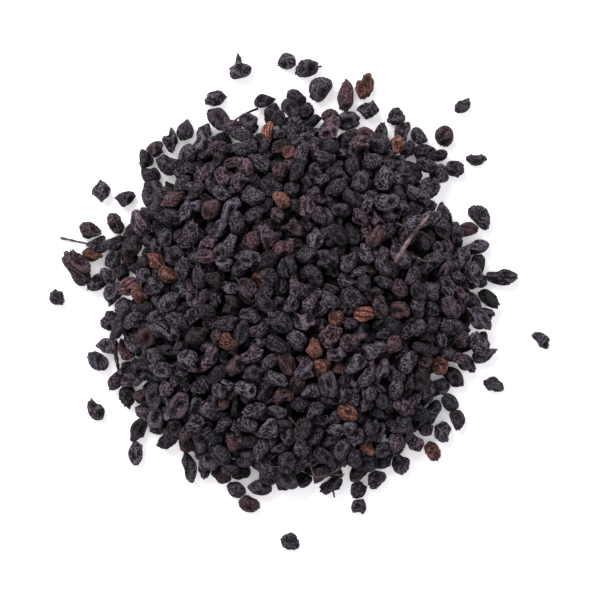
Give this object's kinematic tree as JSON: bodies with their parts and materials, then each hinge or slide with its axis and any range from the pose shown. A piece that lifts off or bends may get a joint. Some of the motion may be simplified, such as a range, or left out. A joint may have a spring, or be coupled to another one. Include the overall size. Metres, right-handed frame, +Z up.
{
  "type": "heap of dried elderberries",
  "caption": "Low mound of small wrinkled dried elderberries, nearly black with some brown ones, with loose berries and bits of stalk around it.",
  "frame": {"origin": "centre of the footprint on the surface that the heap lies on", "axes": "+Z up; +X and +Y along the surface, with the big bit of stalk on the +X +Y side"},
  "size_m": [0.0997, 0.0992, 0.0153],
  "materials": {
    "black_berry_skin": "matte, wrinkled, with a dusty bloom on the folds",
    "red_berry_skin": "matte, wrinkled, dark red-brown",
    "brown_berry_skin": "satin, grooved, orange-brown",
    "stalk": "matte, dry, pinkish grey to dark red-brown"
  },
  "bodies": {
    "root": {"heap": "black_berry_skin", "loose_berry_1": "black_berry_skin", "loose_berry_2": "black_berry_skin", "loose_berry_3": "black_berry_skin", "loose_berry_4": "black_berry_skin", "loose_berry_5": "red_berry_skin", "loose_berry_6": "brown_berry_skin", "loose_berry_7": "black_berry_skin", "loose_berry_8": "black_berry_skin", "loose_berry_9": "black_berry_skin", "loose_berry_10": "black_berry_skin", "loose_berry_11": "black_berry_skin", "loose_berry_12": "black_berry_skin", "loose_berry_13": "black_berry_skin", "loose_berry_14": "black_berry_skin", "loose_berry_15": "black_berry_skin", "loose_berry_16": "black_berry_skin", "loose_berry_17": "black_berry_skin", "loose_berry_18": "red_berry_skin", "loose_berry_19": "black_berry_skin", "loose_berry_20": "black_berry_skin", "loose_berry_21": "brown_berry_skin", "loose_berry_22": "black_berry_skin", "loose_berry_23": "black_berry_skin", "loose_berry_24": "black_berry_skin", "loose_berry_25": "black_berry_skin", "loose_berry_26": "black_berry_skin", "loose_berry_27": "black_berry_skin", "loose_berry_28": "red_berry_skin", "loose_berry_29": "black_berry_skin", "loose_berry_30": "black_berry_skin", "loose_berry_31": "black_berry_skin", "loose_berry_32": "black_berry_skin", "loose_berry_33": "black_berry_skin", "loose_berry_34": "black_berry_skin", "loose_berry_35": "black_berry_skin", "loose_berry_36": "black_berry_skin", "top_berry_1": "brown_berry_skin", "top_berry_2": "brown_berry_skin", "top_berry_3": "red_berry_skin", "top_berry_4": "red_berry_skin", "top_berry_5": "red_berry_skin", "top_berry_6": "brown_berry_skin", "top_berry_7": "brown_berry_skin", "top_berry_8": "red_berry_skin", "top_berry_9": "red_berry_skin", "top_berry_10": "red_berry_skin", "top_berry_11": "brown_berry_skin", "top_berry_12": "brown_berry_skin", "top_berry_13": "brown_berry_skin", "top_berry_14": "brown_berry_skin", "top_berry_15": "red_berry_skin", "top_berry_16": "brown_berry_skin", "top_berry_17": "red_berry_skin", "top_berry_18": "brown_berry_skin", "top_berry_19": "red_berry_skin", "stalk_on_top": "stalk", "stalk_left": "stalk", "stalk_lower_left": "stalk"}
  },
  "joints": []
}
